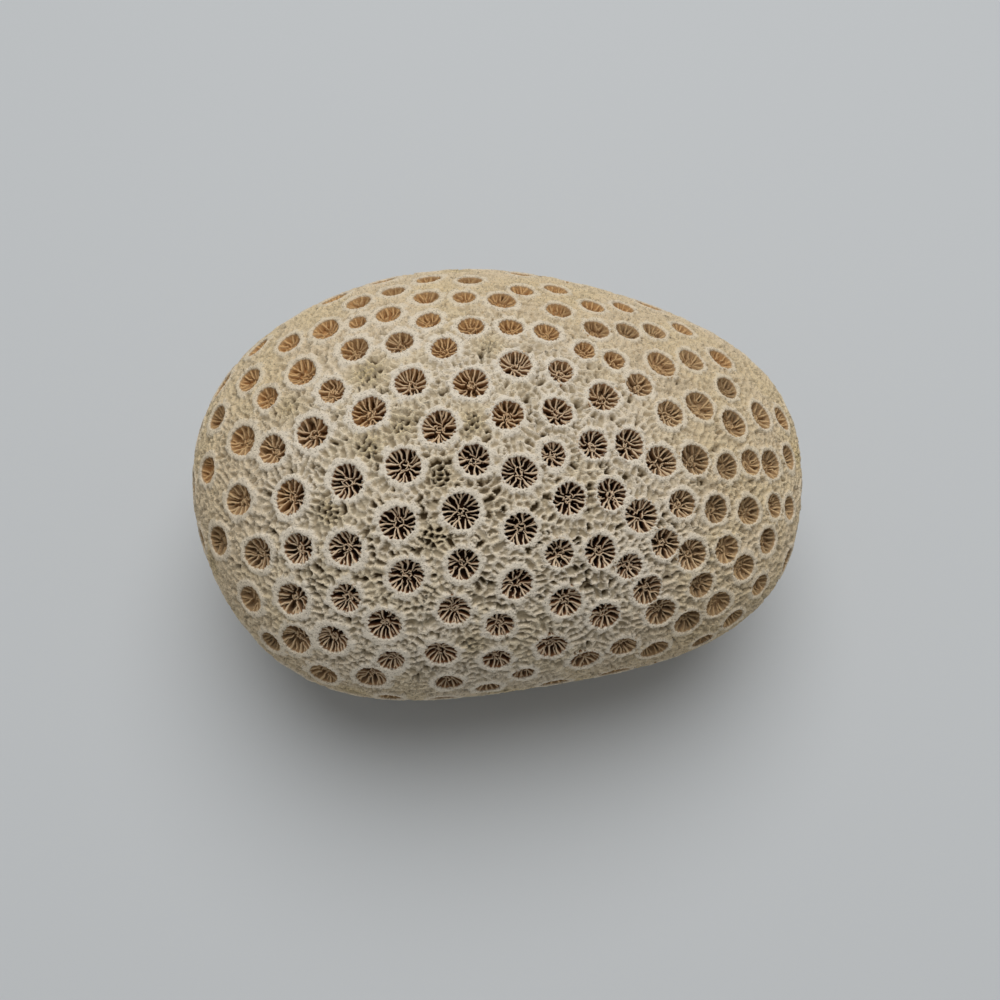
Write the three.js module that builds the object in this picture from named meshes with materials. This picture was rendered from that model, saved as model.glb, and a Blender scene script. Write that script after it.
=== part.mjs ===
// A loose piece of stony coral skeleton, worn to the shape of an egg and ground flat underneath.
// It grew as one piece, so it is one solid. The small cups of the colony lie in its surface.
// Millimetres, +Z up. The long axis is X, with the blunt end at -X and the narrow end at +X.
// The origin is the middle of the flat base that it rests on.

import * as THREE from 'three';
import { mergeVertices } from 'three/addons/utils/BufferGeometryUtils.js';

// Driving dimensions
const LENGTH = 47.7;
const WIDTH = 35.0;
const HEIGHT = 26.8;
const BASE_CUT = 1.2; // how much is ground away underneath

// Form of the egg, as shares of its half length, half width and half height
const PLAN_TAPER = 0.15; // narrower towards +X, seen from above
const PLAN_FULLNESS = 0.17; // ends that are blunter than an ellipse's
const SIDE_TAPER = 0.155; // lower towards +X, seen from the side
const CROWN_LEAN = 0.015; // crown set a little towards +X
const SOFT_LOBES = [
  { count: 5, swell: 0.018, turn: 0.425 },
  { count: 3, swell: 0.015, turn: 1.22 },
]; // the flats that wear leaves round its sides, with turn in radians from +X

// Facets: an icosahedron with each edge cut into this many lengths
const EDGE_CUTS = 16;

const CORAL_COLOUR = 0xc8bda6;
const CORAL_ROUGHNESS = 0.92;

// How far the side swells or flattens in the direction of a point of the unit sphere
function lobeSwell(p) {
  const around = Math.atan2(p.y, p.x);
  const sideways = 1 - p.z * p.z;
  const lobes = SOFT_LOBES.reduce((sum, lobe) => sum + lobe.swell * Math.cos(lobe.count * (around - lobe.turn)), 0);
  return 1 + sideways * lobes;
}

// A point of the unit sphere moved to the egg, before the egg is brought to its size
function eggPoint(p) {
  const swell = lobeSwell(p);
  return new THREE.Vector3(
    swell * (p.x + CROWN_LEAN * p.z),
    swell * p.y * (1 - PLAN_TAPER * p.x + PLAN_FULLNESS * p.x * p.x),
    p.z * (1 - SIDE_TAPER * p.x),
  );
}

// A closed unit sphere of even triangles that share their vertices
function evenSphere() {
  const sphere = new THREE.IcosahedronGeometry(1, EDGE_CUTS - 1);
  sphere.deleteAttribute('normal');
  sphere.deleteAttribute('uv');
  return mergeVertices(sphere, 1e-5);
}

// The egg at its size, with its underside ground to the plane z = 0
function coralGeometry() {
  const geometry = evenSphere();
  const places = geometry.getAttribute('position');
  const points = Array.from({ length: places.count }, (_, i) => {
    return eggPoint(new THREE.Vector3().fromBufferAttribute(places, i).normalize());
  });
  const box = new THREE.Box3().setFromPoints(points);
  const size = box.getSize(new THREE.Vector3());
  const middle = box.getCenter(new THREE.Vector3());
  const fullHeight = HEIGHT + BASE_CUT;
  points.forEach((point, i) => {
    const x = (point.x - middle.x) * LENGTH / size.x;
    const y = (point.y - middle.y) * WIDTH / size.y;
    const z = (point.z - box.min.z) * fullHeight / size.z - BASE_CUT;
    places.setXYZ(i, x, y, Math.max(z, 0));
  });
  geometry.computeVertexNormals();
  return geometry;
}

function coral() {
  const material = new THREE.MeshStandardMaterial({
    color: CORAL_COLOUR,
    roughness: CORAL_ROUGHNESS,
    metalness: 0,
  });
  const mesh = new THREE.Mesh(coralGeometry(), material);
  mesh.name = 'coral';
  return mesh;
}

const cobble = new THREE.Group();
cobble.add(coral());

export default cobble;
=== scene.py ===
import math
import random

import bpy
import numpy as np
from mathutils import Matrix, Vector, noise
from mathutils.bvhtree import BVHTree
from mathutils.kdtree import KDTree


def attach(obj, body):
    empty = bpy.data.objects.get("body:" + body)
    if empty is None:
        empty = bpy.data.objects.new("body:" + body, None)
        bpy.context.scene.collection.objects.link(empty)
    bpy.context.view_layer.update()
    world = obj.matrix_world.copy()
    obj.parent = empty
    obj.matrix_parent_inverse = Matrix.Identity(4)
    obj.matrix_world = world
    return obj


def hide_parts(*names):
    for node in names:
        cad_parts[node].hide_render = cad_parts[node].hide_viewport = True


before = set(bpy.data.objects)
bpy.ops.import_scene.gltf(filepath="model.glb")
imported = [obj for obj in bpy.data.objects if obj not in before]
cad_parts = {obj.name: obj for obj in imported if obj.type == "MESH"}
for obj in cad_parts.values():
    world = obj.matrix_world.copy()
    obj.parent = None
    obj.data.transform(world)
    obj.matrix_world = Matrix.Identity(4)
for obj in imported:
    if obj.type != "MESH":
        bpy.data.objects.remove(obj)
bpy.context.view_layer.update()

mm = 0.001  # the script's lengths are millimetres, the scene's are metres
tiny = 1e-9  # keeps a division away from nothing
pieceLetters = "abcdefgh"  # for the names of pieces that belong together
bpy.ops.object.select_all(action="DESELECT")


# Camera, at the photograph's viewing angle

view = {
    "lens": 36.0,
    "sensor": 36.0,
    "elevation": 63.5,  # degrees above the floor
    "turn": -1.72,  # degrees round the upright axis
    "aim": (0.25, 4.25, 0.0),  # point of the floor in the middle of the image
    "distance": 92.5,
    "clipStart": 1.0,
    "imageSize": 1000,  # pixels
}


def cameraAxes():
    up = math.radians(view["elevation"])
    turn = math.radians(view["turn"])
    right = np.array((math.cos(turn), math.sin(turn), 0.0))
    level = np.array((-math.sin(turn), math.cos(turn), 0.0))
    forward = level * math.cos(up) - np.array((0.0, 0.0, math.sin(up)))
    return right, np.cross(right, forward), forward


rightAxis, upAxis, forwardAxis = cameraAxes()
eye = np.array(view["aim"]) - view["distance"] * forwardAxis


def addCamera():
    lens = bpy.data.cameras.new("photoCamera")
    lens.lens = view["lens"]
    lens.sensor_width = view["sensor"]
    lens.clip_start = view["clipStart"] * mm
    camera = bpy.data.objects.new("photoCamera", lens)
    bpy.context.scene.collection.objects.link(camera)
    turned = Matrix((rightAxis, upAxis, -forwardAxis)).transposed().to_4x4()
    camera.matrix_world = Matrix.Translation(Vector(eye * mm)) @ turned
    bpy.context.scene.camera = camera


def pixelRay(x, y):
    half = view["imageSize"] / 2
    scale = view["lens"] / view["sensor"] * view["imageSize"]
    ray = forwardAxis + (x - half) / scale * rightAxis - (y - half) / scale * upAxis
    return ray / np.linalg.norm(ray)


addCamera()
print("camera set")


# Shared mesh helpers

def startEdit(piece):
    bpy.ops.object.select_all(action="DESELECT")
    piece.select_set(True)
    bpy.context.view_layer.objects.active = piece
    bpy.ops.object.mode_set(mode="EDIT")
    bpy.ops.mesh.select_mode(type="VERT")
    bpy.ops.mesh.select_all(action="SELECT")


def endEdit():
    bpy.ops.object.mode_set(mode="OBJECT")


def meshPoints(mesh):
    flat = np.empty(len(mesh.vertices) * 3)
    mesh.vertices.foreach_get("co", flat)
    return flat.reshape(-1, 3)


def takeMaster(piece):
    points = meshPoints(piece.data)
    faces = [tuple(face.vertices) for face in piece.data.polygons]
    bpy.data.objects.remove(piece)
    return points, faces


def addPiece(name, points, faces, values, smoothCount=None):
    # points in millimetres, values are the attributes that the materials read
    points[:, 2] = np.maximum(points[:, 2], 0.0)
    mesh = bpy.data.meshes.new(name)
    mesh.from_pydata((points * mm).tolist(), [], faces)
    for key, numbers in values.items():
        layer = mesh.attributes.new(key, "FLOAT", "POINT")
        layer.data.foreach_set("value", numbers.astype(np.float32))
    isSmooth = np.arange(len(faces)) < (len(faces) if smoothCount is None else smoothCount)
    mesh.polygons.foreach_set("use_smooth", isSmooth)
    mesh.calc_loop_triangles()
    piece = bpy.data.objects.new(name, mesh)
    bpy.context.scene.collection.objects.link(piece)
    return piece


def joinCopies(name, faces, copies, values):
    corners = np.array(faces)
    steps = np.arange(len(copies))[:, None, None] * len(copies[0])
    allFaces = (corners[None] + steps).reshape(-1, corners.shape[1]).tolist()
    joined = {key: np.concatenate(lists) for key, lists in values.items()}
    return addPiece(name, np.concatenate(copies), allFaces, joined)


def smoothStep(value, low, high):
    share = np.clip((value - low) / (high - low), 0.0, 1.0)
    return share * share * (3 - 2 * share)


def roll(dice, low, high, *shape):
    count = int(np.prod(shape))
    return np.array([dice.uniform(low, high) for _ in range(count)]).reshape(shape)


def unit(vectors):
    return vectors / np.linalg.norm(vectors, axis=-1, keepdims=True)


def treeOf(points):
    tree = KDTree(len(points))
    for i, point in enumerate(points):
        tree.insert(point, i)
    tree.balance()
    return tree


# Skin: the solid's own outer form, rounded, that every cup and pit is laid on

skinValues = {
    "roundings": 2,
    "weld": 0.001,  # points closer than this are one
}


def copyOfSolid(name):
    piece = bpy.data.objects.new(name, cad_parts["coral"].data.copy())
    bpy.context.scene.collection.objects.link(piece)
    piece.data.materials.clear()
    startEdit(piece)
    bpy.ops.mesh.remove_doubles(threshold=skinValues["weld"] * mm)
    bpy.ops.mesh.customdata_custom_splitnormals_clear()
    bpy.ops.mesh.normals_make_consistent(inside=False)
    endEdit()
    return piece


def roundedSkin():
    piece = copyOfSolid("skin")
    rounding = piece.modifiers.new("rounding", "SUBSURF")
    rounding.levels = skinValues["roundings"]
    rounding.render_levels = skinValues["roundings"]
    bpy.ops.object.modifier_apply(modifier="rounding")
    normals = np.array([tuple(vertex.normal) for vertex in piece.data.vertices])
    points, faces = takeMaster(piece)
    return points / mm, normals, BVHTree.FromPolygons((points / mm).tolist(), faces)


skinPoints, skinNormals, skin = roundedSkin()
print("skin laid with", len(skinPoints), "points")


def layOnSkin(points):
    spots = np.empty_like(points)
    normals = np.empty_like(points)
    for i, point in enumerate(points):
        spot, normal, _, _ = skin.find_nearest(Vector(point))
        spots[i] = spot
        normals[i] = normal
    return spots, normals


# Places of the cups

# Read off the photograph, in pixels: middle of the hole across and down, and its longest width
photoCups = [
    (331, 390, 28), (301, 371, 31), (266, 397, 25), (325, 328, 29), (288, 342, 26), (248, 379, 28),
    (216, 417, 27), (354, 348, 30), (358, 301, 27), (357, 321, 18), (393, 290, 25), (388, 313, 27),
    (426, 296, 27), (428, 278, 26), (464, 296, 25), (470, 279, 25), (428, 319, 26), (502, 299, 30),
    (471, 325, 28), (399, 341, 30), (444, 347, 29), (410, 381, 34), (471, 382, 36), (368, 411, 36),
    (439, 426, 36), (522, 289, 25), (511, 326, 26), (559, 309, 27), (547, 331, 27), (593, 305, 25),
    (556, 288, 25), (597, 328, 28), (628, 330, 26), (624, 306, 24), (516, 363, 34), (561, 370, 28),
    (585, 349, 24), (615, 359, 24), (655, 330, 26), (662, 363, 32), (604, 396, 33), (640, 384, 29),
    (508, 414, 33), (558, 411, 32), (671, 413, 30), (692, 359, 29), (683, 328, 25), (722, 358, 28),
    (701, 405, 33), (728, 387, 27), (735, 423, 31), (762, 415, 30), (783, 418, 27), (662, 461, 34),
    (696, 459, 33), (728, 466, 28), (752, 462, 28), (772, 464, 31), (790, 457, 26), (683, 504, 30),
    (717, 509, 29), (750, 511, 30), (776, 506, 25), (791, 508, 25), (666, 544, 31), (693, 555, 33),
    (728, 550, 30), (769, 541, 27), (745, 568, 29), (702, 586, 28), (719, 605, 30), (688, 623, 30),
    (661, 613, 33), (761, 586, 25), (734, 620, 27), (703, 642, 25), (655, 651, 30), (517, 585, 33),
    (566, 603, 34), (560, 554, 30), (601, 552, 34), (630, 567, 28), (648, 591, 32), (605, 617, 32),
    (500, 626, 30), (552, 648, 33), (585, 661, 31), (624, 648, 29), (524, 675, 24), (497, 661, 31),
    (406, 577, 36), (463, 565, 33), (454, 612, 33), (384, 626, 35), (441, 655, 33), (391, 662, 29),
    (449, 684, 31), (371, 679, 33), (345, 599, 31), (488, 689, 27), (291, 600, 34), (332, 641, 32),
    (295, 641, 33), (249, 600, 29), (256, 554, 33), (270, 643, 25), (323, 676, 31), (297, 549, 32),
    (345, 549, 35), (311, 432, 34), (241, 440, 32), (271, 449, 31), (289, 497, 36), (237, 500, 32),
    (346, 481, 36), (217, 541, 31), (206, 470, 28), (403, 465, 37), (474, 459, 33), (461, 511, 38),
    (397, 523, 36), (520, 472, 36), (521, 529, 34), (554, 454, 27), (594, 444, 31), (630, 444, 33),
    (570, 499, 34), (612, 494, 32), (642, 516, 35),
]
# Young cups between the others, in the same way
photoBuds = [
    (369, 449, 18), (440, 476, 22), (434, 537, 25), (471, 419, 22), (366, 372, 20), (326, 512, 27),
    (287, 407, 20), (400, 425, 19), (472, 646, 17), (489, 344, 17),
]

cups = {
    "holeLeast": 1.4,
    "holeMost": 2.75,
    "hiddenHole": (1.9, 2.6),  # holes of the cups that the photograph doesn't show
    "closest": 3.45,  # between two middles, before they are spread out
    "spread": 4.25,  # the spacing that they are pushed towards
    "spreadRounds": 40,
    "push": 0.16,
    "seenFacing": 0.2,  # a surface turned this far to the camera has only the cups that were read off
    "ribs": (18, 20, 22, 24),  # septa of a cup, from the smallest hole to the largest
    "ribJitter": 0.22,  # share of the spacing between two septa
    "ribChoice": 1.3,  # how far chance shifts the choice of their number
    "oval": 0.06,  # most that a hole is longer one way, as a share
    "corner": 0.03,  # most that it is three-cornered
    "upright": 0.9,  # an axis steeper than this is measured from X and not from Z
    "neighbours": 3,  # cups that are compared to find the nearest hole
    "slopeOval": 0.27,  # how oval a hole gets as the surface turns away from the camera
    "slopeOvalMost": 0.12,
    "slopeOvalFrom": (-14.0, -4.0),  # only towards the blunt end
    "seed": 11,
}
chance = random.Random(cups["seed"])


class Cup:
    def __init__(self, middle, axis, hole):
        self.middle = np.array(middle)
        self.axis = unit(np.array(axis))
        self.hole = hole / 2
        helper = (0.0, 0.0, 1.0) if abs(self.axis[2]) < cups["upright"] else (1.0, 0.0, 0.0)
        self.across = unit(np.cross(helper, self.axis))
        self.along = np.cross(self.axis, self.across)
        self.oval = chance.uniform(0.0, cups["oval"])
        self.ovalTurn = chance.uniform(0, math.tau)
        self.corner = chance.uniform(0.0, cups["corner"])
        self.cornerTurn = chance.uniform(0, math.tau)
        self.ribs = self.chooseRibs(hole)
        jitter = roll(chance, -cups["ribJitter"], cups["ribJitter"], self.ribs)
        self.ribTurns = (np.arange(self.ribs) + jitter) * math.tau / self.ribs

    def chooseRibs(self, hole):
        choices = cups["ribs"]
        share = (hole - cups["holeLeast"]) / (cups["holeMost"] - cups["holeLeast"])
        place = share * len(choices) + chance.uniform(-cups["ribChoice"], cups["ribChoice"])
        return choices[min(max(int(place), 0), len(choices) - 1)]

    def heading(self, turn):
        return np.outer(np.cos(turn), self.across) + np.outer(np.sin(turn), self.along)


def spotAtPixel(x, y, width):
    spot, normal, _, _ = skin.ray_cast(Vector(eye), Vector(pixelRay(x, y)))
    depth = float(np.dot(np.array(spot) - eye, forwardAxis))
    return np.array(spot), normal, width * depth / view["imageSize"] * view["sensor"] / view["lens"]


def isHidden(i):
    towardsEye = unit(eye - skinPoints[i])
    return np.dot(skinNormals[i], towardsEye) < cups["seenFacing"]


def hiddenPlaces(taken):
    places = []
    for i in hiddenOrder:
        known = np.array(taken + places)
        if np.linalg.norm(known - skinPoints[i], axis=1).min() > cups["closest"]:
            places.append(skinPoints[i])
    return spreadOut(np.array(places), np.array(taken))


def spreadOut(places, taken):
    for _ in range(cups["spreadRounds"]):
        known = np.concatenate((places, taken))
        gaps = places[:, None] - known[None]
        lengths = np.linalg.norm(gaps, axis=2) + tiny
        push = np.clip(cups["spread"] - lengths, 0, None) * (lengths > 2 * tiny)
        moves = (gaps / lengths[..., None] * push[..., None]).sum(axis=1) * cups["push"]
        places, _ = layOnSkin(places + moves)
    return places


def stretchDownSlope(cup):
    # at the blunt end the holes are longer up and down the slope than across it
    towardsEye = unit(eye - cup.middle)
    oval = min(cups["slopeOval"] * (1 - np.dot(cup.axis, towardsEye)), cups["slopeOvalMost"])
    oval = oval * (1 - smoothStep(cup.middle[0], *cups["slopeOvalFrom"]))
    if oval > cup.oval:
        cup.oval = oval
        cup.ovalTurn = math.atan2(np.dot(towardsEye, cup.along), np.dot(towardsEye, cup.across))
        cup.hole = cup.hole * (1 + oval)


def placeCups():
    found = []
    for mark in photoCups:
        spot, normal, hole = spotAtPixel(*mark)
        found.append(Cup(spot, normal, min(max(hole, cups["holeLeast"]), cups["holeMost"])))
        stretchDownSlope(found[-1])
    hidden = hiddenPlaces([cup.middle for cup in found])
    spots, normals = layOnSkin(hidden)
    for spot, normal in zip(spots, normals):
        found.append(Cup(spot, normal, chance.uniform(*cups["hiddenHole"])))
    return found


hiddenOrder = [i for i in range(len(skinPoints)) if isHidden(i)]
chance.shuffle(hiddenOrder)
allCups = placeCups()
cupTree = treeOf([cup.middle for cup in allCups])
print("cups placed:", len(allCups))


def cupValues(key):
    return np.array([getattr(cup, key) for cup in allCups])


wear = {
    "crownPixel": (470, 525),  # middle of the part of the image where the cups are deep and sharp
    "reach": (10.0, 19.0),  # over this distance from there the cups get shallow
}
crown = spotAtPixel(*wear["crownPixel"], 1.0)[0]


def wornShare(points):
    return smoothStep(np.linalg.norm(points - crown, axis=-1), *wear["reach"])


field = {key: cupValues(key) for key in ("middle", "axis", "across", "along", "hole", "ribs")}
field.update({key: cupValues(key) for key in ("oval", "ovalTurn", "corner", "cornerTurn")})
ribTable = np.array([np.resize(cup.ribTurns, max(cups["ribs"])) for cup in allCups])


def nearestCups(points):
    # the cup whose hole is nearest to each point
    owners = np.empty(len(points), dtype=int)
    for i, point in enumerate(points):
        found = cupTree.find_n(point, cups["neighbours"])
        owners[i] = min(found, key=lambda hit: hit[2] - allCups[hit[1]].hole)[1]
    return owners


def ribOffset(owners, turn):
    # angle from the nearest septum, as a share of their spacing
    ribs = field["ribs"][owners]
    guess = np.rint(turn / math.tau * ribs).astype(int)
    offset = np.full(len(turn), np.inf)
    for step in (-1, 0, 1):
        gap = turn - ribTable[owners, (guess + step) % ribs]
        gap = ((gap + math.pi) % math.tau - math.pi) * ribs / math.tau
        offset = np.where(np.abs(gap) < np.abs(offset), gap, offset)
    return offset


def plainHole(owners, turn):
    # radius of a hole in each direction, with two soft bulges and three smaller ones
    ovalness = field["oval"][owners] * np.cos(2 * (turn - field["ovalTurn"][owners]))
    corners = field["corner"][owners] * np.cos(3 * (turn - field["cornerTurn"][owners]))
    return field["hole"][owners] * (1 + ovalness + corners)


def placeInCup(points, owners):
    gaps = points - field["middle"][owners]
    x = (gaps * field["across"][owners]).sum(axis=1)
    y = (gaps * field["along"][owners]).sum(axis=1)
    return np.hypot(x, y), np.arctan2(y, x)


# Pits of the ground: slots between the ribs round each cup, and others out to the next cup
# Each pit is a short chain of spots

pits = {
    "rim": 0.38,  # width of the band without pits round a hole
    "ringOut": 0.08,  # from that band to the first spot of a slot
    "ringLength": (0.25, 0.75),
    "ringTurn": 0.1,  # how far a slot lies beside the middle of its gap, in radians over the number of ribs
    "ringClosest": 0.26,
    "step": 0.17,  # between two spots of a pit
    "fillRounds": 2,  # tries from each point of the skin
    "fillSteps": 4,
    "fillJitter": 0.2,
    "closest": 0.37,  # between the spots of two pits
    "clear": 0.14,  # from the band to the first spot of any other pit
    "jitter": 0.07,
    "cupsAway": 8.0,  # cups further off than this don't count as neighbours
    "shallow": (0.18, 0.42),
    "deep": (0.45, 0.7),
    "deepShare": 0.25,
    "youngDepth": (0.6, 0.85),
    "youngRing": 0.74,  # share of a young cup's radius where its outer pits lie
    "youngInner": 0.3,
    "youngStep": 0.53,  # between two of its pits
    "youngTurn": 0.15,  # unevenness round its middle, as a share of their spacing
    "youngOut": (0.88, 1.12),  # unevenness outwards
    "youngClosest": 0.28,
    "hiddenBuds": 22,
    "hiddenBudRadius": (0.65, 0.95),
    "budRoom": 0.8,  # from the band of the next cup to the middle of a young cup
    "budSpacing": 5.0,
    "seed": 23,
}


slantedWay = (0.31, 0.52, 0.79)  # any direction does, to start measuring turns round a young cup


class SpotGrid:
    # places on a coarse grid, to tell quickly whether a new one is too close to another
    def __init__(self, step):
        self.step = step
        self.spots = {}

    def key(self, point):
        return tuple(int(part // self.step) for part in point)

    def isFree(self, point, least):
        x, y, z = self.key(point)
        for i in (x - 1, x, x + 1):
            for j in (y - 1, y, y + 1):
                for k in (z - 1, z, z + 1):
                    for spot in self.spots.get((i, j, k), ()):
                        if math.dist(spot, point) < least:
                            return False
        return True

    def add(self, point):
        self.spots.setdefault(self.key(point), []).append(tuple(point))


def findBuds(dice):
    found = [spotAtPixel(*mark) for mark in photoBuds]
    middles = [spot for spot, _, _ in found]
    radii = [width / 2 for _, _, width in found]
    for i in hiddenOrder:
        point = skinPoints[i]
        near = cupTree.find_n(point, cups["neighbours"])
        room = min(gap - allCups[number].hole for _, number, gap in near)
        spacing = np.linalg.norm(np.array(middles) - point, axis=1).min()
        if room > pits["rim"] + pits["budRoom"] and spacing > pits["budSpacing"]:
            middles.append(point)
            radii.append(dice.uniform(*pits["hiddenBudRadius"]))
        if len(middles) == len(photoBuds) + pits["hiddenBuds"]:
            break
    return np.array(middles), radii


def youngPits(middle, radius, dice):
    # an outer ring of pits and a few inside it
    _, normals = layOnSkin(middle[None])
    across = unit(np.cross(normals[0], slantedWay))
    along = np.cross(normals[0], across)
    spots = []
    for reach in (radius * pits["youngRing"], radius * pits["youngInner"]):
        count = max(int(math.tau * reach / pits["youngStep"]), 1)
        uneven = roll(dice, -pits["youngTurn"], pits["youngTurn"], count)
        turns = (np.arange(count) + uneven + dice.random()) * math.tau / count
        lengths = reach * roll(dice, *pits["youngOut"], count)
        flat = np.stack((lengths * np.cos(turns), lengths * np.sin(turns)), axis=1)
        spots.append(middle + flat @ np.array((across, along)))
    return np.concatenate(spots)


def ringPits(number, dice):
    # a slot in each gap between two ribs, out to the border with the next cup
    cup = allCups[number]
    uneven = roll(dice, -pits["ringTurn"], pits["ringTurn"], cup.ribs)
    turns = cup.ribTurns + (math.pi + uneven) / cup.ribs
    headings = cup.heading(turns)
    gaps = field["middle"] - cup.middle
    lengths = np.linalg.norm(gaps, axis=1)
    near = (lengths > 0) & (lengths < pits["cupsAway"])
    ahead = np.maximum(headings @ gaps[near].T, tiny)
    border = ((lengths[near] ** 2 + cup.hole ** 2 - field["hole"][near] ** 2) / 2 / ahead).min(axis=1)
    band = plainHole(np.full(cup.ribs, number), turns) + pits["rim"]
    start = np.minimum(band + pits["ringOut"] + roll(dice, -1, 1, cup.ribs) * pits["jitter"], border)
    end = np.minimum(start + roll(dice, *pits["ringLength"], cup.ribs), border - pits["ringOut"])
    chains = []
    for i in range(cup.ribs):
        if start[i] > band[i] - pits["jitter"]:
            steps = start[i] + np.arange(0, max(end[i] - start[i], 0) + tiny, pits["step"])
            chains.append(cup.middle + np.outer(steps, headings[i]))
    return chains


def fillPits(dice):
    # from any spot outside the bands, a few steps away from the nearest cup
    order = list(range(len(skinPoints))) * pits["fillRounds"]
    dice.shuffle(order)
    spots = skinPoints[order] + roll(dice, -pits["fillJitter"], pits["fillJitter"], len(order), 3)
    owners = nearestCups(spots)
    radius, turn = placeInCup(spots, owners)
    isClear = radius - plainHole(owners, turn) > pits["rim"] + pits["clear"]
    ways = unit(spots - field["middle"][owners]) * pits["step"]
    for spot, way in zip(spots[isClear], ways[isClear]):
        yield spot + np.outer(np.arange(dice.randint(1, pits["fillSteps"])), way)


def findPits():
    dice = random.Random(pits["seed"])
    grid = SpotGrid(pits["closest"])
    places = []
    chainOf = []

    def keep(chain, least):
        free = []
        for spot in layOnSkin(chain)[0]:
            if not grid.isFree(spot, least):
                break
            free.append(spot)
        number = chainOf[-1] + 1 if chainOf else 0
        for spot in free:
            grid.add(spot)
            places.append(spot)
            chainOf.append(number)

    middles, radii = findBuds(dice)
    for middle, radius in zip(middles, radii):
        for spot in youngPits(middle, radius, dice):
            keep(spot[None], pits["youngClosest"])
    youngCount = chainOf[-1] + 1
    for number in range(len(allCups)):
        for chain in ringPits(number, dice):
            keep(chain, pits["ringClosest"])
    for chain in fillPits(dice):
        keep(chain, pits["closest"])
    depths = [dice.uniform(*pits["youngDepth"]) for _ in range(youngCount)]
    for _ in range(chainOf[-1] + 1 - youngCount):
        isDeep = dice.random() < pits["deepShare"]
        depths.append(dice.uniform(*(pits["deep"] if isDeep else pits["shallow"])))
    return np.array(places), np.array(chainOf), np.array(depths), youngCount, middles


pitPlaces, pitOf, pitDepths, youngCount, budMiddles = findPits()
pitTree = treeOf(pitPlaces)
print("pits placed:", len(pitDepths), "of them in young cups:", youngCount)


# Coral surface: one continuous skin of rims, ridges, pits and cup walls

surface = {
    "firstCuts": 3,  # cuts of each edge of the solid's facets
    "secondCuts": 2,  # further cuts outside the holes
    "coarseInside": 0.2,  # from this far inside a hole's edge there are no further cuts
    "floorDepth": (1.15, 0.8),  # of a sharp cup and of a worn one
    "snap": 0.05,  # points this close to a hole's edge are moved onto it
    "foot": 0.15,  # those from there to this far inside become the foot of the wall
    "wallGap": 0.02,  # how far the foot of a cup's wall leans in
    "ridgeSnap": 0.035,
    "fillet": 0.15,  # how far the foot of each septum thickens the wall
    "wornFillet": 0.45,  # how much of that is gone in a worn cup
    "filletWidth": 0.26,  # share of the spacing between two septa
    "rimWidth": (0.55, 1.4),  # shares of the band without pits
    "rimGrowth": (1.3, 0.9),  # how much wider the rims are at the blunt end and at the narrow one
    "rimGrowthFrom": (-8.0, 8.0),
    "rimEdge": 0.07,  # half the width of the slope outside it
    "rimRound": 0.14,  # how far the rounding of its inner edge reaches
    "rimCurve": 2.5,  # how fast it falls there
    "rimDrop": 0.02,
    "edgeBand": 0.01,  # the very edge of a hole, which is a little darker than the rim
    "edgeShade": 0.1,
    "ridge": 0.07,  # how far the ridges of the ground lie below the rims
    "ridgeJitter": 0.04,
    "ridgeHalf": (0.02, 0.11),
    "pitSide": 0.075,
    "wornPits": 0.85,  # depth of the pits where the coral is worn
    "openShare": 0.14,  # ridges that are broken through, so that two pits run together
    "openDepth": 0.7,
    "openPick": 7,  # turns a pair's number into another, to choose which ridges those are
    "pitsAround": 8,  # spots that are compared to find the nearest pits
    "warp": (0.06, 0.05),  # how far the ridges wander, widely and in small
    "warpSizes": (0.5, 0.22),
    "lumps": 0.3,  # the same wandering as unevenness, as a share
    "ragged": 0.035,  # unevenness of the pits' edges
    "youngHalf": 0.052,  # half width of the ridges in a young cup
    "youngSide": 0.05,
    "grain": (-0.024, 0.012),
    "budReach": 1.1,
    "skirt": 1.8,
    "heart": (0.0, 0.0, 12.0),  # point inside the coral where the wedges meet
    "wedges": 5,
    "seed": 37,
}


def holeEdge(owners, turn):
    offset = ribOffset(owners, turn)
    fillet = surface["fillet"] * (1 - surface["wornFillet"] * wornShare(field["middle"])[owners])
    return plainHole(owners, turn) - fillet * np.exp(-(offset / surface["filletWidth"]) ** 2)


def fineSkin():
    piece = copyOfSolid("fine_skin")
    startEdit(piece)
    bpy.ops.mesh.subdivide(number_cuts=surface["firstCuts"])
    endEdit()
    points, _ = layOnSkin(meshPoints(piece.data) / mm)
    owners = nearestCups(points)
    radius, turn = placeInCup(points, owners)
    isOpen = radius - plainHole(owners, turn) < -surface["coarseInside"]
    for vertex, inHole in zip(piece.data.vertices, isOpen):
        vertex.select = not inHole
    for edge in piece.data.edges:
        edge.select = False
    for face in piece.data.polygons:
        face.select = not all(isOpen[i] for i in face.vertices)
    bpy.ops.object.mode_set(mode="EDIT")
    bpy.ops.mesh.select_mode(type="FACE")
    bpy.ops.mesh.subdivide(number_cuts=surface["secondCuts"])
    bpy.ops.mesh.select_all(action="SELECT")
    bpy.ops.mesh.quads_convert_to_tris()
    endEdit()
    piece.data.calc_loop_triangles()
    corners = np.empty(len(piece.data.loop_triangles) * 3, dtype=np.int32)
    piece.data.loop_triangles.foreach_get("vertices", corners)
    points, normals = layOnSkin(meshPoints(piece.data) / mm)
    bpy.data.objects.remove(piece)
    return points, normals, corners.reshape(-1, 3)


def nearestPits(points):
    # the nearest spot, and the nearest ones of two other pits
    found = np.empty((len(points), 3), dtype=int)
    for i, point in enumerate(points):
        spots = [hit[1] for hit in pitTree.find_n(point, surface["pitsAround"])]
        others = [spot for spot in spots if pitOf[spot] != pitOf[spots[0]]]
        third = [spot for spot in others if pitOf[spot] != pitOf[others[0]]]
        found[i] = spots[0], others[0], (third or others)[0]
    return found


scramble = {"low": 12.9898, "high": 78.233, "scale": 43758.5453}  # mixes two numbers into one by chance


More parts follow.
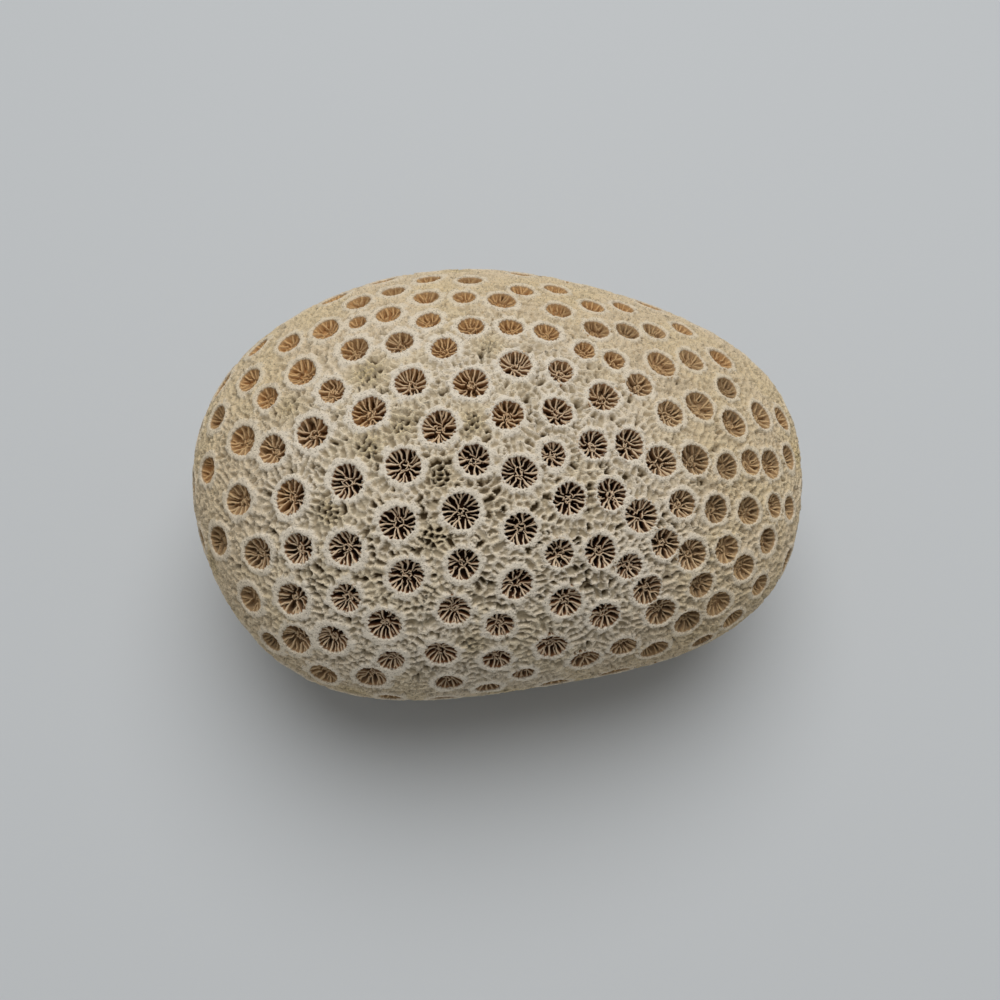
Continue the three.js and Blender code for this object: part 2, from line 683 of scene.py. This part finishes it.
def chanceOf(first, second):
    # a number from 0 to 1 that belongs to a pair of pits, whichever comes first
    low = np.minimum(first, second) * scramble["low"]
    high = np.maximum(first, second) * scramble["high"]
    return np.modf(np.abs(np.sin(low + high) * scramble["scale"]))[0]


def borderOf(points, first, second):
    # how far a point lies from the border between two pits, and the way there
    way = pitPlaces[second] - pitPlaces[first]
    length = np.maximum(np.linalg.norm(way, axis=1), tiny)
    middle = (pitPlaces[second] + pitPlaces[first]) / 2
    way = way / length[:, None]
    return ((middle - points) * way).sum(axis=1), way


def pitShare(gap, first, second):
    # 0 on the ridge between two pits, 1 away from it, and in between where the ridge is broken
    pick = chanceOf(pitOf[first], pitOf[second])
    least, most = surface["ridgeHalf"]
    isYoung = np.minimum(pitOf[first], pitOf[second]) < youngCount
    half = np.where(isYoung, surface["youngHalf"], least + (most - least) * pick)
    side = np.where(isYoung, surface["youngSide"], surface["pitSide"])
    share = smoothStep(gap, half, half + side)
    isOpen = (pick * surface["openPick"] % 1 < surface["openShare"]) & ~isYoung
    return np.where(isOpen, np.maximum(share, surface["openDepth"]), share)


def warpOf(points):
    noise.seed_set(surface["seed"])  # without it this noise starts differently in each run
    warp = np.zeros_like(points)
    for reach, size in zip(surface["warp"], surface["warpSizes"]):
        warp += reach * np.array([noise.noise_vector(Vector(point) / size) for point in points])
    return warp


def snapToHoles(points, owners):
    # points near a hole's edge are moved onto it, and those just inside become the foot of its wall
    radius, turn = placeInCup(points, owners)
    beyond = radius - holeEdge(owners, turn)
    moved = np.where(np.abs(beyond) < surface["snap"], 0.0, beyond)
    isFoot = (beyond <= -surface["snap"]) & (beyond > -surface["foot"])
    moved = np.where(isFoot, -surface["wallGap"], moved)
    outward = np.cos(turn)[:, None] * field["across"][owners]
    outward = outward + np.sin(turn)[:, None] * field["along"][owners]
    return points + outward * (moved - beyond)[:, None], moved


def snapToRidges(points, warp, beyond):
    # the nearest spots of three pits, with the points close to a ridge moved onto it
    first, second, third = nearestPits(points + warp).T
    gap, way = borderOf(points + warp, first, second)
    isRidge = (gap < surface["ridgeSnap"]) & (beyond > pits["rim"])
    points = points + way * np.where(isRidge, gap, 0.0)[:, None]
    otherGap, _ = borderOf(points + warp, first, third)
    return points, (first, second, third), np.where(isRidge, 0.0, gap), otherGap


def pitDepth(points, spots, gap, otherGap, dice):
    # how far the ground falls below its ridges
    first, second, third = spots
    ragged = dice.uniform(-1, 1, len(points)) * surface["ragged"] * (pitOf[first] >= youngCount)
    share = pitShare(gap + ragged, first, second) * pitShare(otherGap + ragged, first, third)
    mixed = (1 - smoothStep(gap, 0.0, surface["pitSide"])) / 2
    depth = pitDepths[pitOf[first]] * (1 - mixed) + pitDepths[pitOf[second]] * mixed
    return depth * (1 + (surface["wornPits"] - 1) * wornShare(points)) * share


def rimShare(beyond, owners, pit):
    # 1 on the raised rim of a cup, 0 on the ground outside it
    least, most = surface["rimWidth"]
    growth = np.interp(field["middle"][owners, 0], surface["rimGrowthFrom"], surface["rimGrowth"])
    end = pits["rim"] * growth * (least + (most - least) * chanceOf(pit, owners))
    return 1 - smoothStep(beyond, end - surface["rimEdge"], end + surface["rimEdge"])


def onCupFloor(points, owners):
    # points moved along the axis of their cup to its flat floor
    axes = field["axis"][owners]
    sharp, worn = surface["floorDepth"]
    floor = sharp + (worn - sharp) * wornShare(field["middle"])[owners]
    fall = -floor - ((points - field["middle"][owners]) * axes).sum(axis=1)
    return points + axes * fall[:, None]


def shapeSurface(points, normals):
    dice = np.random.RandomState(surface["seed"])
    owners = nearestCups(points)
    points, beyond = snapToHoles(points, owners)
    warp = warpOf(points)
    points, spots, gap, otherGap = snapToRidges(points, warp, beyond)
    first, second = pitOf[spots[0]], pitOf[spots[1]]
    onRim = rimShare(beyond, owners, first)
    depth = pitDepth(points, spots, gap, otherGap, dice) * (1 - onRim)
    level = -surface["ridge"] + surface["ridgeJitter"] * (2 * chanceOf(first, second) - 1)
    rounded = np.maximum(surface["rimRound"] - beyond, 0.0) ** 2
    rimTop = -surface["rimDrop"] - rounded * surface["rimCurve"]
    grain = dice.uniform(*surface["grain"], len(points))
    lumps = np.minimum(warp[:, 0] * surface["lumps"], surface["rimDrop"])
    height = onRim * rimTop + (1 - onRim) * level - depth + grain + lumps
    onGround = points + normals * height[:, None]
    inHole = beyond < -surface["wallGap"] / 2
    shaped = np.where(inHole[:, None], onCupFloor(points, owners), onGround)
    edge = np.where(beyond < surface["edgeBand"], surface["edgeShade"], 0.0)
    # hollow and inside are the depths by which the material darkens pits and cups: painted shade, and in
    # the pits partly stain
    values = {
        "hollow": np.where(inHole, 0.0, depth),
        "inside": np.where(inHole, 1.0, edge),
        "chalk": np.where(inHole, 0.0, onRim),
        "young": np.exp(-(nearestBud(points) / surface["budReach"]) ** 2),
    }
    return shaped, owners, values


def nearestBud(points):
    gaps = np.full(len(points), np.inf)
    for middle in budMiddles:
        gaps = np.minimum(gaps, np.linalg.norm(points - middle, axis=1))
    return gaps


def closeWedge(name, triangles, shaped, skirts, values):
    # the wedge's own points, a skirt below its border and the faces from there to the heart
    used, local = np.unique(triangles, return_inverse=True)
    local = local.reshape(-1, 3)
    count = len(used)
    edges = np.concatenate((local[:, (0, 1)], local[:, (1, 2)], local[:, (2, 0)])).astype(np.int64)
    forward = edges[:, 0] * count + edges[:, 1]
    isBorder = ~np.isin(edges[:, 1] * count + edges[:, 0], forward)
    border = edges[isBorder]
    rim = np.unique(border)
    lower = np.zeros(count, dtype=int)
    lower[rim] = count + np.arange(len(rim))
    start, end = border.T
    heart = np.full(len(border), count + len(rim))
    upperHalf = np.stack((end, start, lower[start]), axis=1)
    lowerHalf = np.stack((end, lower[start], lower[end]), axis=1)
    inner = np.stack((lower[end], lower[start], heart), axis=1)
    faces = np.concatenate((local, upperHalf, lowerHalf, inner))
    points = np.concatenate((shaped[used], skirts[used][rim], [surface["heart"]]))
    extra = len(rim) + 1
    allValues = {key: np.concatenate((numbers[used], np.ones(extra))) for key, numbers in values.items()}
    return addPiece(name, points, faces.tolist(), allValues, len(local))


def addSurface():
    points, normals, triangles = fineSkin()
    shaped, owners, values = shapeSurface(points, normals)
    skirts = points - normals * surface["skirt"]
    around = np.arctan2(field["middle"][:, 1], field["middle"][:, 0]) / math.tau + 0.5
    wedgeOf = np.minimum((around * surface["wedges"]).astype(int), surface["wedges"] - 1)
    faceWedge = wedgeOf[owners[triangles[:, 0]]]
    pieces = []
    for wedge in range(surface["wedges"]):
        name = "coral_surface_" + pieceLetters[wedge]
        pieces.append(closeWedge(name, triangles[faceWedge == wedge], shaped, skirts, values))
    return pieces


surfacePieces = addSurface()
print("surface made:", {piece.name: len(piece.data.loop_triangles) for piece in surfacePieces})


# Septa: the thin blades that stand in each cup like spokes

septa = {
    "stations": 5,
    "longEnd": (0.2, 0.4),  # inner end, as a share of the hole's radius
    "shortEnd": (0.42, 0.66),
    "wornEnd": 0.12,  # how much further out both end in a worn cup
    "wallHalf": 0.15,  # half thickness where they flare into the wall
    "innerHalf": 0.04,
    "flare": 0.5,  # below 1 they get thin soon after the wall
    "halfJitter": (0.7, 1.3),
    "topShare": 0.75,  # thickness of the top edge
    "inWall": 0.12,
    "tops": (0.03, 0.14, 0.3, 0.43, 0.5),  # depth of the top edge from the wall inwards
    "wornTops": (0.05, 0.18, 0.34, 0.46, 0.54),  # the same in a worn cup
    "topJitter": 0.05,
    "topScale": (0.85, 1.15),
    "topShade": 0.09,  # how much darker parts of the top edge may be
    "bottom": 1.25,
    "wave": 0.1,
    "waveFrom": 0.3,  # closer to the middle than this the wave grows no more
    "bend": 0.2,
    "shortDrop": 0.16,  # how much lower a short septum lies at its inner end
    "shortHalf": 0.8,  # its thickness, as a share
    "joinShare": 0.85,  # chance that a short septum leans over to a long one
    "joinLean": (0.75, 1.0),  # how far, as a share of their spacing
    "meetShare": 0.4,  # chance that a long one leans over to the next long one
    "meetLean": (0.8, 1.3),
    "groups": 2,
    "seed": 5000,
}


def bladeMaster(stations):
    # a thin bar with stations along its length, and each point's station and whether it is on top
    bpy.ops.object.select_all(action="DESELECT")
    bpy.ops.mesh.primitive_cube_add(size=2.0)
    blade = bpy.context.object
    for face in blade.data.polygons:
        face.select = False
    for vertex in blade.data.vertices:
        vertex.select = False
    for edge in blade.data.edges:
        ends = [blade.data.vertices[i].co for i in edge.vertices]
        edge.select = abs(ends[0].x - ends[1].x) > 1
    bpy.ops.object.mode_set(mode="EDIT")
    bpy.ops.mesh.select_mode(type="EDGE")
    bpy.ops.mesh.subdivide(number_cuts=stations - 2)
    endEdit()
    points, faces = takeMaster(blade)
    at = np.rint((points[:, 0] + 1) / 2 * (stations - 1)).astype(int)
    return {"side": points[:, 1], "onTop": points[:, 2] > 0, "at": at, "faces": faces}


def bladeCopy(master, cup, path, half, tops, bottom):
    # path holds the blade's stations in the cup's own plane
    run = np.gradient(path, axis=0)
    crossing = unit(np.stack((-run[:, 1], run[:, 0]), axis=1))
    at = master["at"]
    sideways = master["side"] * half[at] * np.where(master["onTop"], septa["topShare"], 1.0)
    place = path[at] + crossing[at] * sideways[:, None]
    height = np.where(master["onTop"], tops[at], bottom)
    return cup.middle + place @ np.array((cup.across, cup.along)) + cup.axis * height[:, None]


def rimSag(cup, radius):
    # how far the skin falls away below the cup's own plane at each septum
    spots, _ = layOnSkin(cup.middle + cup.heading(cup.ribTurns) * radius[:, None])
    return (spots - cup.middle) @ cup.axis


def septumBend(isLong, spacing, dice):
    if not isLong and dice.random() < septa["joinShare"]:
        return dice.choice((-1, 1)) * spacing * dice.uniform(*septa["joinLean"])
    if isLong and dice.random() < septa["meetShare"]:
        return dice.choice((-1, 1)) * spacing * dice.uniform(*septa["meetLean"])
    return dice.uniform(-1, 1) * septa["bend"]


def septaCopies(number):
    cup = allCups[number]
    dice = random.Random(septa["seed"] + number)
    holes = plainHole(np.full(cup.ribs, number), cup.ribTurns)
    sag = rimSag(cup, holes)
    worn = wornShare(cup.middle)
    tops = -(1 - worn) * np.array(septa["tops"]) - worn * np.array(septa["wornTops"])
    copies = []
    for i in range(cup.ribs):
        isLong = i % 2 == 0
        end = dice.uniform(*(septa["longEnd"] if isLong else septa["shortEnd"])) + worn * septa["wornEnd"]
        start = holes[i] + septa["inWall"]
        radius = start + (holes[i] * end - start) * inwards
        turn = cup.ribTurns[i] + septumBend(isLong, math.tau / cup.ribs, dice) * inwards ** 2
        wave = roll(dice, -1, 1, len(inwards)) * septa["wave"] * inwards
        turn = turn + wave / np.maximum(radius, septa["waveFrom"])
        ownTops = tops * dice.uniform(*septa["topScale"]) + sag[i] * (radius / holes[i]) ** 2
        ownTops = ownTops + roll(dice, -1, 1, len(inwards)) * septa["topJitter"] * inwards
        ownTops = ownTops - (0.0 if isLong else septa["shortDrop"]) * inwards
        half = septa["wallHalf"] + (septa["innerHalf"] - septa["wallHalf"]) * inwards ** septa["flare"]
        half = half * roll(dice, *septa["halfJitter"], len(inwards))
        half = half * (1.0 if isLong else septa["shortHalf"])
        path = np.stack((radius * np.cos(turn), radius * np.sin(turn)), axis=1)
        copies.append(bladeCopy(blade, cup, path, half, ownTops, -septa["bottom"]))
    return copies


def addBlades(name, master, copies, seed):
    dice = np.random.RandomState(seed)
    shades = dice.uniform(0, septa["topShade"], (len(copies), len(master["at"])))
    # the top edge is a little darker at random, and the foot of each blade is painted as deep shade in the
    # cup
    inside = np.where(master["onTop"], shades, 1.0)
    return joinCopies(name, master["faces"], copies, {"inside": inside})


def addSepta():
    copies = [septaCopies(number) for number in range(len(allCups))]
    share = math.ceil(len(copies) / septa["groups"])
    pieces = []
    for group in range(septa["groups"]):
        part = [septum for cup in copies[group * share:(group + 1) * share] for septum in cup]
        pieces.append(addBlades("septa_" + pieceLetters[group], blade, part, group))
    return pieces


blade = bladeMaster(septa["stations"])
inwards = np.linspace(0, 1, septa["stations"])
septaPieces = addSepta()
print("septa joined:", [len(piece.data.loop_triangles) for piece in septaPieces])


# Columellae: the open tangle of small bars in the middle of each cup, where the long septa meet

columella = {
    "stations": 3,
    "bars": 10,
    "reach": 0.38,  # middle of a bar from the middle of the cup
    "reachScale": (0.25, 1.0),
    "turn": 0.9,  # how far a bar is turned from lying round the middle, in radians
    "length": (0.22, 0.42),
    "half": (0.034, 0.052),
    "depth": (0.4, 0.56),
    "wornDepth": 1.35,  # the same in a worn cup, as a share
    "topJitter": 0.05,
    "bow": 0.08,
    "seed": 9000,
}


def tangleCopies(number):
    cup = allCups[number]
    dice = random.Random(columella["seed"] + number)
    sink = 1 + (columella["wornDepth"] - 1) * wornShare(cup.middle)
    copies = []
    for i in range(columella["bars"]):
        angle = math.tau * (i + dice.random()) / columella["bars"]
        reach = columella["reach"] * dice.uniform(*columella["reachScale"])
        middle = reach * np.array((math.cos(angle), math.sin(angle)))
        heading = angle + math.pi / 2 + dice.uniform(-columella["turn"], columella["turn"])
        run = np.array((math.cos(heading), math.sin(heading)))
        crossing = np.array((-run[1], run[0]))
        length = dice.uniform(*columella["length"])
        bow = dice.uniform(-1, 1) * columella["bow"]
        path = middle + np.outer((barAlong - 0.5) * length, run)
        path = path + np.outer(bow * np.sin(barAlong * math.pi), crossing)
        half = np.full(len(barAlong), dice.uniform(*columella["half"]))
        tops = -dice.uniform(*columella["depth"]) * sink
        tops = tops + roll(dice, -columella["topJitter"], columella["topJitter"], len(barAlong))
        copies.append(bladeCopy(bar, cup, path, half, tops, -septa["bottom"]))
    return copies


bar = bladeMaster(columella["stations"])
barAlong = np.linspace(0, 1, columella["stations"])
tangles = [copy for number in range(len(allCups)) for copy in tangleCopies(number)]
columellaPiece = addBlades("columellae", bar, tangles, septa["groups"])
print("columellae joined:", len(columellaPiece.data.loop_triangles))


# Materials

class Shade:
    def __init__(self, tree, socket=None):
        self.tree = tree
        self.socket = socket

    def node(self, kind, settings, inputs, output=0):
        made = self.tree.nodes.new(kind)
        for key, value in settings.items():
            setattr(made, key, value)
        for key, value in inputs.items():
            if isinstance(value, Shade):
                self.tree.links.new(value.socket, made.inputs[key])
            else:
                made.inputs[key].default_value = value
        return Shade(self.tree, made.outputs[output] if made.outputs else None)

    def maths(self, operation, first, second):
        return self.node("ShaderNodeMath", {"operation": operation}, {0: first, 1: second})

    def __add__(self, other):
        return self.maths("ADD", self, other)

    def __radd__(self, other):
        return self.maths("ADD", other, self)

    def __sub__(self, other):
        return self.maths("SUBTRACT", self, other)

    def __rsub__(self, other):
        return self.maths("SUBTRACT", other, self)

    def __mul__(self, other):
        return self.maths("MULTIPLY", self, other)

    def __rmul__(self, other):
        return self.maths("MULTIPLY", other, self)

    def within(self, low, high):
        # 0 below low, 1 above high
        inputs = {"Value": self, "From Min": low, "From Max": high, "To Min": 0.0, "To Max": 1.0}
        return self.node("ShaderNodeMapRange", {"interpolation_type": "SMOOTHSTEP"}, inputs)

    def blend(self, first, second):
        # sockets 6 and 7 are the colours and output 2 is their mix
        settings = {"data_type": "RGBA", "clamp_factor": True}
        return self.node("ShaderNodeMix", settings, {0: self, 6: first, 7: second}, 2)


def rgb(red, green, blue):
    # a colour as a screen shows it, from 0 to 255, in linear light
    def linear(part):
        part = part / 255
        return part / 12.92 if part <= 0.04045 else ((part + 0.055) / 1.055) ** 2.4
    return (linear(red), linear(green), linear(blue), 1.0)


finish = {
    "ground": rgb(253, 238, 214),
    "groundWorn": rgb(242, 221, 187),
    "groundYellow": rgb(243, 219, 165),
    "chalk": rgb(253, 240, 219),
    "septum": rgb(244, 219, 186),
    "septumWorn": rgb(230, 198, 150),
    # painted back light on the septa of the cups at the back
    "septumBackLit": rgb(232, 190, 134),
    "pit": rgb(206, 190, 162),
    # painted shade at the floor of the deepest pits
    "pitDeepShade": rgb(112, 94, 68),
    # painted shade inside the cups: a brown half shade down walls and septa, deep shade at their feet,
    # lighter in worn shallow cups
    "halfShadeBrown": rgb(146, 100, 64),
    "halfShadeWorn": rgb(194, 158, 116),
    "deepShadeBrown": rgb(86, 56, 38),
    "deepShadeWorn": rgb(188, 158, 120),
    "deepBackLit": rgb(202, 156, 104),  # painted back light: the floors of the cups at the back, lighter and warmer as if lit by the key behind
    "cupGrey": rgb(112, 97, 76),  # in some worn cups, beside the other colours
    "cupGreyShare": 0.4,
    "cupGreyFrom": (0.5, 0.68),
    "cupPatches": 4.0,
    "yellowPatches": 6.0,
    "yellowFrom": (0.42, 0.65),
    "yellowShare": 0.3,
    "youngYellow": 0.55,  # how yellow a young cup is
    "chalkLost": 0.55,  # how much of a rim's chalk is gone where the coral is worn
    "pitFrom": (0.06, 0.26),  # depths over which a pit darkens, partly a brownish stain and partly painted shade
    "pitLost": 0.4,  # how much less it does where the coral is worn
    # depths over which a pit darkens further, as painted shade
    "pitDeepShadeFrom": (0.3, 0.6),
    "wallShadeFrom": (0.1, 0.25),  # painted shade down a cup's wall, from 0 at its edge to 1 at its foot
    "wallDeepShadeFrom": (0.18, 0.5),
    "septumShadeFrom": (0.03, 0.16),  # the same painted shade down a septum
    "septumDeepShadeFrom": (0.1, 0.36),
    "backLitLean": 0.25,  # how far the side with painted back light leans towards -X
    "backLitFrom": (-6.0, 7.0),
    "backLitPatches": 5.0,
    "backLitUneven": 16.0,  # how far the border of the painted back light wanders
    "speck": rgb(140, 124, 98),
    "speckSizes": (0.12, 0.45),
    "speckShares": (0.75, 0.3),
    "speckFrom": (0.52, 0.7),
    "roughness": 0.92,
    "specular": 0.15,
    "grainSizes": (0.1, 0.3),
    "grainDepths": (0.15, 0.18),
    "grainDetail": 4.0,
    "grainStrength": 0.8,
    "noiseDetail": 3.0,
    "noiseRoughness": 0.6,
}


def newMaterial(name):
    material = bpy.data.materials.new(name)
    material.use_nodes = True
    tree = material.node_tree
    tree.nodes.clear()
    return material, Shade(tree)


def noiseOf(shade, place, size, detail=finish["noiseDetail"]):
    inputs = {"Vector": place, "Scale": 1 / (size * mm), "Detail": detail}
    inputs["Roughness"] = finish["noiseRoughness"]
    return shade.node("ShaderNodeTexNoise", {}, inputs)


def closeMaterial(shade, colour, place):
    fineSize, coarseSize = finish["grainSizes"]
    fineDepth, coarseDepth = finish["grainDepths"]
    fine = noiseOf(shade, place, fineSize, finish["grainDetail"]) * fineDepth
    grain = fine + noiseOf(shade, place, coarseSize) * coarseDepth
    inputs = {"Strength": finish["grainStrength"], "Distance": mm, "Height": grain}
    bump = shade.node("ShaderNodeBump", {}, inputs)
    inputs = {"Base Color": colour, "Roughness": finish["roughness"], "Normal": bump}
    inputs["Specular IOR Level"] = finish["specular"]
    skeleton = shade.node("ShaderNodeBsdfPrincipled", {}, inputs)
    shade.node("ShaderNodeOutputMaterial", {}, {"Surface": skeleton})


def attribute(shade, name):
    return shade.node("ShaderNodeAttribute", {"attribute_name": name}, {}, "Fac")


def objectPlace(shade):
    return shade.node("ShaderNodeTexCoord", {}, {}, "Object")


def wornAt(shade, place):
    inputs = {0: place, 1: tuple(crown * mm)}
    distance = shade.node("ShaderNodeVectorMath", {"operation": "DISTANCE"}, inputs, "Value")
    near, far = wear["reach"]
    return distance.within(near * mm, far * mm)


def backLitAt(shade, place):
    # painted back light: towards the back, most of all on the left, the cups are painted lighter and warmer
    # inside
    x = shade.node("ShaderNodeSeparateXYZ", {}, {0: place}, "X")
    y = shade.node("ShaderNodeSeparateXYZ", {}, {0: place}, "Y")
    low, high = finish["backLitFrom"]
    uneven = (noiseOf(shade, place, finish["backLitPatches"], 0.0) - 0.5) * finish["backLitUneven"] * mm
    return (y - x * finish["backLitLean"] + uneven).within(low * mm, high * mm)


def cupColour(shade, place, worn, parts):
    # parts names the colours of a sharp cup, a worn one and one with painted back light
    sharp, dull, warm = [finish[part] for part in parts]
    colour = backLitAt(shade, place).blend(worn.blend(sharp, dull), warm)
    grey = noiseOf(shade, place, finish["cupPatches"], 0.0).within(*finish["cupGreyFrom"])
    return (grey * worn * finish["cupGreyShare"]).blend(colour, finish["cupGrey"])


def wallMaterial():
    material, shade = newMaterial("chalky_wall")
    place = objectPlace(shade)
    worn = wornAt(shade, place)
    hollow = attribute(shade, "hollow")
    inside = attribute(shade, "inside")
    chalk = attribute(shade, "chalk")
    young = attribute(shade, "young")
    patches = noiseOf(shade, place, finish["yellowPatches"]).within(*finish["yellowFrom"])
    yellow = patches * finish["yellowShare"] + young * finish["youngYellow"]
    ground = yellow.blend(worn.blend(finish["ground"], finish["groundWorn"]), finish["groundYellow"])
    ground = (chalk * (1 - worn * finish["chalkLost"])).blend(ground, finish["chalk"])
    for size, share in zip(finish["speckSizes"], finish["speckShares"]):
        specks = noiseOf(shade, place, size).within(*finish["speckFrom"]) * share
        ground = specks.blend(ground, finish["speck"])
    # pits darken with depth: partly a brownish stain, and the deepest as painted shade
    shallow = hollow.within(*finish["pitFrom"]) * (1 - worn * finish["pitLost"])
    pitted = shallow.blend(ground, finish["pit"])
    pitted = hollow.within(*finish["pitDeepShadeFrom"]).blend(pitted, finish["pitDeepShade"])
    # painted shade: the wall darkens to brown and then to deep shade from the edge of the hole down to its
    # floor
    brown = worn.blend(finish["halfShadeBrown"], finish["halfShadeWorn"])
    warm = inside.within(*finish["wallShadeFrom"]).blend(pitted, brown)
    deep = cupColour(shade, place, worn, ("deepShadeBrown", "deepShadeWorn", "deepBackLit"))
    colour = inside.within(*finish["wallDeepShadeFrom"]).blend(warm, deep)
    closeMaterial(shade, colour, place)
    return material


def septumMaterial():
    material, shade = newMaterial("cream_septum")
    place = objectPlace(shade)
    worn = wornAt(shade, place)
    inside = attribute(shade, "inside")
    top = cupColour(shade, place, worn, ("septum", "septumWorn", "septumBackLit"))
    deep = cupColour(shade, place, worn, ("deepShadeBrown", "deepShadeWorn", "deepBackLit"))
    # painted shade: each septum darkens from its top edge to brown and then to deep shade at its foot
    brown = worn.blend(finish["halfShadeBrown"], finish["halfShadeWorn"])
    warm = inside.within(*finish["septumShadeFrom"]).blend(top, brown)
    colour = inside.within(*finish["septumDeepShadeFrom"]).blend(warm, deep)
    closeMaterial(shade, colour, place)
    return material


chalkyWall = wallMaterial()
creamSeptum = septumMaterial()
for piece in surfacePieces:
    piece.data.materials.append(chalkyWall)
for piece in septaPieces + [columellaPiece]:
    piece.data.materials.append(creamSeptum)
print("materials set")


# Every piece rides with the coral and stands for its solid

for piece in surfacePieces + septaPieces + [columellaPiece]:
    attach(piece, "root")
    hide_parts("coral")


# Floor, light and view

stage = {
    "floorSize": 1600.0,
    "floorColour": rgb(206, 209, 211),
    "floorRoughness": 0.7,
    "keyPlace": (30.0, 146.0, 445.0),
    "keyAim": (0.0, 0.0, 10.0),
    "keySize": 470.0,
    "keyPower": 1.5,
    "skyColour": (0.97, 0.99, 1.0, 1.0),
    "skyStrength": 0.26,
}


def addFloor():
    bpy.ops.object.select_all(action="DESELECT")
    bpy.ops.mesh.primitive_plane_add(size=stage["floorSize"] * mm)
    floor = bpy.context.object
    floor.name = "floor"
    material, shade = newMaterial("pale_floor")
    inputs = {"Base Color": stage["floorColour"], "Roughness": stage["floorRoughness"]}
    coating = shade.node("ShaderNodeBsdfPrincipled", {}, inputs)
    shade.node("ShaderNodeOutputMaterial", {}, {"Surface": coating})
    floor.data.materials.append(material)


def addLight():
    lamp = bpy.data.lights.new("soft_key", "AREA")
    lamp.shape = "DISK"
    lamp.size = stage["keySize"] * mm
    lamp.energy = stage["keyPower"]
    light = bpy.data.objects.new("soft_key", lamp)
    light.location = Vector(stage["keyPlace"]) * mm
    towards = Vector(stage["keyAim"]) * mm - light.location
    light.rotation_euler = towards.to_track_quat("-Z", "Y").to_euler()
    bpy.context.scene.collection.objects.link(light)


def addSky():
    world = bpy.data.worlds.new("studio")
    world.use_nodes = True
    sky = world.node_tree.nodes["Background"]
    sky.inputs["Color"].default_value = stage["skyColour"]
    sky.inputs["Strength"].default_value = stage["skyStrength"]
    bpy.context.scene.world = world


addFloor()
addLight()
addSky()
bpy.context.scene.view_settings.view_transform = "Standard"
print("stage lit")
